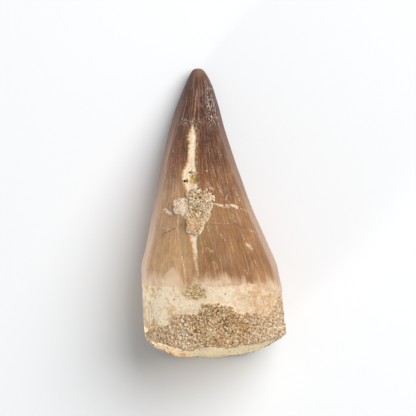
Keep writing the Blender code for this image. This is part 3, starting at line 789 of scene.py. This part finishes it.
def toothPaint():  # enamel and bone, then what lies on them, one layer over the other
    paint = Paint("enamel root and matrix")
    place = paint.millimetres()
    flow = paint.vector("flow")
    x, y = paint.parts(place)[:2]
    d = 0.5 * tooth["length"] - y
    names = "root", "crack", "crust", "pocket", "edge", "inner", "up", "rim", "covered"
    root, crack, crust, pocket, edge, inner, top, rim, covered = (paint.number(name) for name in names)
    fine = paint.noise(place, 2.6, 4, 0.6)

    colour, threads = enamelColour(paint, x, d, flow, top, edge, root)
    bone, stain = boneColour(paint, place, x, d, fine, threads, edge)
    rootEdge = (root + (threads - 0.5) * 0.9 + (fine - 0.5) * 0.4).ease(-0.12, 0.12)
    colour = paint.mix(rootEdge, colour, bone)
    # fibrous ochre patch where the crack meets the root
    patch = oval(x, d, -3.2, 38.7, 2, 1.3) + (fine - 0.5) * 1.8 + (threads - 0.5) * 1.2
    fibre = paint.noise(place, 3, 3, 0.7)
    ochre = paint.ramp(fibre, (
        (0.36, 124, 88, 44), (0.46, 176, 138, 84), (0.54, 214, 180, 128), (0.62, 246, 226, 190),
    ))
    colour = paint.mix(patch.ease(1.3, 0.75) * top * 0.88, colour, ochre)
    colour = marked(paint, colour, place, top)

    # filled crack, ochre at its edges, with loose specks of the filling above it
    cloud = oval(x, d, -3.9, 9.5, 1.9, 1) + (paint.noise(place, 1.6, 2, 0.5) - 0.5) * 2.6
    specks = paint.noise(place, 6, 1, 0.5).ease(0.53, 0.62) * cloud.ease(1.2, 0.5)
    colour = paint.mix(specks * top * 0.8, colour, tint(224, 202, 182))
    quick = paint.noise(place, 6, 3, 0.65) - 0.5
    fray = (fine - 0.5) * (1.1 + d.ease(15, 10.5) * 1.2) + quick * (0.9 + d.ease(15, 10.5) * 1.4)
    tinted = (crack + fray * 0.8).ease(-0.5, -0.05) * d.ease(9.5, 11) * 0.42
    colour = paint.mix(tinted, colour, tint(178, 136, 86))
    olive = oval(x, d, -3.3, 26.5, 3.6, 6) + (fine - 0.5) * 0.8 + (threads - 0.5) * 1.5
    colour = paint.mix(olive.ease(1.2, 0.5) * (1 - rootEdge) * top * 0.35, colour, tint(184, 152, 104))
    filled = (crack + fray - (10.3 - d).atLeast(0) * 0.7).ease(-0.06, 0.1)
    fill = paint.mix(fine.ease(0.4, 0.64), tint(255, 240, 216), tint(240, 214, 178))
    fill = paint.mix((crack + (fine - 0.5)).ease(0.42, 0.05) * 0.65, fill, tint(204, 162, 108))
    fill = paint.mix((d - 30.5).ease(0, 3) * 0.45, fill, tint(222, 186, 148))
    colour = paint.mix(filled, colour, fill)
    pocketTone = paint.noise(place, 2.4, 4, 0.7)
    pocketFill = paint.ramp(pocketTone, (
        (0.34, 136, 96, 52), (0.45, 196, 154, 88), (0.54, 222, 188, 130), (0.66, 244, 224, 188),
    ))
    colour = paint.mix((pocket + (fine - 0.5) * 0.9).ease(-0.12, 0.2) * top, colour, pocketFill)
    for key, dark in (("hole", tint(44, 24, 16)), ("holeTwo", tint(110, 70, 40))):
        holeX, holeD, holeR = detail[key][:3]
        away = oval(x, d, holeX, holeD, holeR, holeR) + (fine - 0.5) * 0.5
        colour = paint.mix(away.ease(1.35, 0.75) * top, colour, dark)

    crusted = (crust + (fine - 0.5) * 0.8).ease(-0.06, 0.1)
    colour = paint.mix(crusted, colour, crustColour(paint, place, x, d, crust, fine))

    # matrix between the grains, and the layered wall of the root on the broken end
    wall = wallColourAndPaintedLight(paint, flow, rim, fine, stain, x)
    colour = paint.mix((rim + (fine - 0.5) * 1.6).ease(-1, -0.4) * (1 - inner), colour, wall)
    # the matrix under the grains, its tones set a little darker than theirs, partly as painted shade in the
    # gaps between grains
    earthWithGapShade = sandColours(paint, (paint.noise(place, 2.6, 4, 0.75) - 0.5) * 2.4 + 0.4)
    barer = edge.ease(0.75, 0.1) * (rim + 2).ease(1, 0) * 0.5  # hardly any matrix along the sides
    matrix = (covered + inner + (fine - 0.5) * 1.2 - barer).ease(0.4, 0.6)
    colour = paint.mix(matrix, colour, earthWithGapShade)
    # painted light: the left side of tooth, bone and matrix lightened
    colour = paint.times(1, colour, paintedLeftLight(x))

    enamel = (1 - rootEdge) * (1 - filled) * (1 - crusted) * (1 - matrix)
    rough = 0.88 - enamel * 0.46 + (threads - 0.5) * enamel * 0.3
    normal = paint.bump(paint.noise(place, 5, 4, 0.7), 0.55, 0.1)
    normal = paint.bump(threads * enamel, 0.35, 0.06, normal)
    return paint.finish(
        BaseColor=colour, Roughness=rough, Normal=normal, SpecularIORLevel=0.16, IOR=1.5,
    )


def grainPaint(name, warm):  # each grain's tone picks its colour, and some are ochre
    paint = Paint(name)
    place = paint.millimetres()
    tone = paint.number("tone")
    mottle = paint.noise(place, 3.5, 3, 0.65)
    colour = sandColours(paint, tone + (mottle - 0.5) * 0.18)
    colour = paint.mix(warm * paint.number("ochre"), colour, tint(206, 154, 98))
    x = paint.parts(place)[0]
    # painted light: the grains on the left side lightened
    colour = paint.times(1, colour, paintedLeftLight(x))
    colour = paint.mix(abs(x - 1).ease(3.5, 7) * 0.28, colour, tint(226, 206, 186))
    normal = paint.bump(paint.noise(place, 8, 3, 0.6), 0.4, 0.05)
    return paint.finish(BaseColor=colour, Roughness=0.85 + (mottle - 0.5) * 0.2, Normal=normal, IOR=1.5)


print("tooth")
quads, topFan, bottomFan = wrappedFaces(*shape)
body = newPiece("tooth_body", points, [quads, topFan, bottomFan], fields, {"flow": flow}, toothPaint())


# single grains of the matrix

sandGrains = dict(count=9700, radius=(0.09, 0.26), sink=0.38, seed=7)
endGrains = dict(count=1800, radius=(0.11, 0.28), sink=0.38, seed=8)
crustGrains = dict(count=820, radius=(0.08, 0.23), sink=0.38, seed=9)


def pebbleShape():  # an icosahedron: its corners are those of three upright golden rectangles
    g = (1 + math.sqrt(5)) / 2
    points = [
        (0, 1, g), (0, -1, g), (0, 1, -g), (0, -1, -g), (1, g, 0), (-1, g, 0), (1, -g, 0), (-1, -g, 0),
        (g, 0, 1), (-g, 0, 1), (g, 0, -1), (-g, 0, -1),
    ]
    faces = [
        (0, 1, 8), (0, 8, 4), (0, 4, 5), (0, 5, 9), (0, 9, 1), (3, 6, 7), (3, 10, 6), (3, 2, 10), (3, 11, 2),
        (3, 7, 11), (1, 6, 8), (8, 6, 10), (8, 10, 4), (4, 10, 2), (4, 2, 5), (5, 2, 11), (5, 11, 9),
        (9, 11, 7), (9, 7, 1), (1, 7, 6),
    ]
    points = np.array(points, float)
    return points / np.linalg.norm(points, axis=1, keepdims=True), np.array(faces)


def outwardNormals(points, shape):  # cross product of the differences along rows and along columns
    p = points[:-2].reshape(shape + (3,))
    alongRow = np.roll(p, -1, axis=1) - np.roll(p, 1, axis=1)
    alongColumn = np.gradient(p, axis=0)
    normal = np.cross(alongColumn, alongRow)
    area = np.linalg.norm(normal, axis=-1)
    return normal / np.maximum(area, 1e-9)[..., None], area


def scattered(name, weight, look, material, toneOf):
    # Each grain is the pebble shape, stretched and turned at random, half sunk at a random place.
    rng = np.random.default_rng(look["seed"])
    normals, area = outwardNormals(points, shape)
    chance = (area * weight).ravel()
    picked = rng.choice(len(chance), look["count"], p=chance / chance.sum())
    base, faces = pebbleShape()
    n = look["count"]
    low, high = look["radius"]
    radius = low + (high - low) * rng.random(n) ** 1.8
    turn = np.linalg.qr(rng.normal(size=(n, 3, 3)))[0]
    stretch = rng.uniform(0.7, 1.25, (n, 1, 3))
    bent = base[None] * (1 + 0.16 * rng.normal(size=(n, len(base), 1)).clip(-1.6, 1.6))
    shaped = np.einsum("nvi,nij->nvj", bent * stretch, turn) * radius[:, None, None]
    out = normals.reshape(-1, 3)[picked]
    centre = points[:-2][picked] + out * (radius * (0.5 - look["sink"] - 0.3 * rng.random(n)))[:, None]
    centre = centre + rng.normal(0, 0.04, (n, 3))
    placed = (centre[:, None] + shaped).reshape(-1, 3)
    placed[:, 2] = np.maximum(placed[:, 2], 0.0)
    turned = np.linalg.det(turn) < 0  # a mirrored turn would show the inside
    listed = faces[None] + (np.arange(n) * len(base))[:, None, None]
    listed[turned] = listed[turned][..., ::-1]
    tone = toneOf(rng, centre)
    ochre = eased(lumps(*centre.T, 1.6, 95), 0.25, 0.9)
    numbers = {"tone": np.repeat(tone, len(base)), "ochre": np.repeat(ochre, len(base))}
    return newPiece(name, placed, [listed.reshape(-1, 3)], numbers, None, material, smooth=False)


def onGrid(values):  # rows and columns again, without the two end points
    return values[:-2].reshape(shape)


def sandTone(rng, centre):  # most grains are tan, some dark or white, and lighter at the sides
    slow = 0.13 * layered(*centre.T, 2.8, 97) + 0.12 * eased(np.abs(centre[:, 0] - 1.0), 2.5, 6.5)
    return np.clip(0.49 + 0.23 * rng.normal(size=len(centre)) + slow, 0, 1)


def crustTone(rng, centre):  # dark and white grains in the middle, cream ones on the left lobe and lower down
    cleaner = np.maximum(eased(-centre[:, 0], 4.2, 5.0), 0.8 * eased(-centre[:, 1], 0.3, 1.8))
    dark = rng.random(len(centre)) < 0.36 * (1 - cleaner)
    tan = (rng.random(len(centre)) < 0.5) & (centre[:, 1] < -0.8)
    tone = np.where(dark, 0.22, np.where(tan, 0.44, 0.74))
    return np.clip(tone + 0.1 * rng.normal(size=len(centre)), 0, 1)


def crustWeight():  # thick over the middle of the crust, thin on its left lobe
    inside, x = onGrid(fields["crust"]), onGrid(points[:, 0])
    lower = eased(-onGrid(points[:, 1]), 0.6, 2.0)
    return eased(inside, -0.6, 0.5) ** 2 * (1 - 0.8 * eased(-x, 4.2, 5.0)) * (1 - 0.6 * lower)


def sandWeight():  # over the matrix, hardly any at its sides, and a few on the layered wall
    rim = onGrid(fields["rim"])
    sides = eased(onGrid(fields["edge"]) + 3 * eased(rim, -1.5, 0), 0.20, 0.80)
    wall = eased(rim, 0.2, 0.8) * (1 - eased(rim, 2.0, 3.5))
    return np.maximum((onGrid(fields["covered"]) - 0.15) * sides, 0.02 * wall)


def endWeight():  # over the matrix that fills the hollow of the broken end
    return np.maximum(onGrid(fields["inner"]) - 0.15, 0)


sandPaint = grainPaint("matrix grains", 0.5)
crustPaint = grainPaint("crust grains", 0.35)
pieces = [
    body,
    scattered("matrix_grains", sandWeight(), sandGrains, sandPaint, sandTone),
    scattered("broken_end_grains", endWeight(), endGrains, sandPaint, sandTone),
    scattered("crust_grains", crustWeight(), crustGrains, crustPaint, crustTone),
]
for piece in pieces:
    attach(piece, "root")
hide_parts("fossil_tooth")
print("grains")


# table, light and camera

studio = dict(
    tableSize=4.0, tableColour=(0.836, 0.852, 0.874, 1), tableShade=(0.832, 0.848, 0.870, 1),
    worldStrength=0.29, worldColour=(0.955, 0.985, 1.0, 1),
    keyLamp=((0.34, 0.30, 0.55), 0.66, 6.4, (1.0, 0.985, 0.965)),  # place and size in metres, power, colour
    fillLamp=((-0.57, -0.68, 0.14), 0.24, 3.5, (0.98, 0.99, 1.0)),
    cameraDistance=0.9, outlineHeight=0.010,
)


def table():  # a large plain sheet under the tooth
    half = studio["tableSize"] / 2
    corners = np.array([(-half, -half, 0), (half, -half, 0), (half, half, 0), (-half, half, 0)]) * 1000
    paint = Paint("white table")
    place = paint.millimetres()
    shade = paint.noise(place, 0.02, 2, 0.5)
    colour = paint.mix(shade, studio["tableColour"], studio["tableShade"])
    finish = paint.finish(BaseColor=colour, Roughness=0.9)
    newPiece("table", corners, [np.array([[0, 1, 2, 3]])], material=finish)


def light(name, place, size, power, colour):  # a round soft box that faces the tooth
    lamp = bpy.data.lights.new(name, "AREA")
    lamp.shape, lamp.size, lamp.energy, lamp.color = "DISK", size, power, colour
    holder = bpy.data.objects.new(name, lamp)
    bpy.context.scene.collection.objects.link(holder)
    holder.location = place
    holder.visible_camera = False
    away = np.array(place) / np.linalg.norm(place)
    holder.rotation_mode = "QUATERNION"
    holder.rotation_quaternion = Vector(away).to_track_quat("Z", "Y")


def studioWorld():
    world = bpy.data.worlds.new("studio")
    world.use_nodes = True
    back = world.node_tree.nodes["Background"]
    back.inputs["Color"].default_value = studio["worldColour"]
    back.inputs["Strength"].default_value = studio["worldStrength"]
    bpy.context.scene.world = world


def camera():  # straight above, with the photograph's middle under the middle of the view
    width = photo["side"] * photo["mmPerPixel"] * 0.001
    x, d = placeOf(photo["side"] / 2, photo["side"] / 2)
    lens = bpy.data.cameras.new("camera")
    lens.sensor_width = 36
    lens.lens = 36 * studio["cameraDistance"] / width
    lens.clip_start, lens.clip_end = 0.01, 20
    eye = bpy.data.objects.new("camera", lens)
    height = studio["cameraDistance"] + studio["outlineHeight"]
    eye.location = (x * 0.001, (0.5 * tooth["length"] - d) * 0.001, height)
    bpy.context.scene.collection.objects.link(eye)
    bpy.context.scene.camera = eye


table()
light("key", *studio["keyLamp"])
light("fill", *studio["fillLamp"])
studioWorld()
camera()
bpy.context.scene.view_settings.view_transform = "Standard"
print("studio")
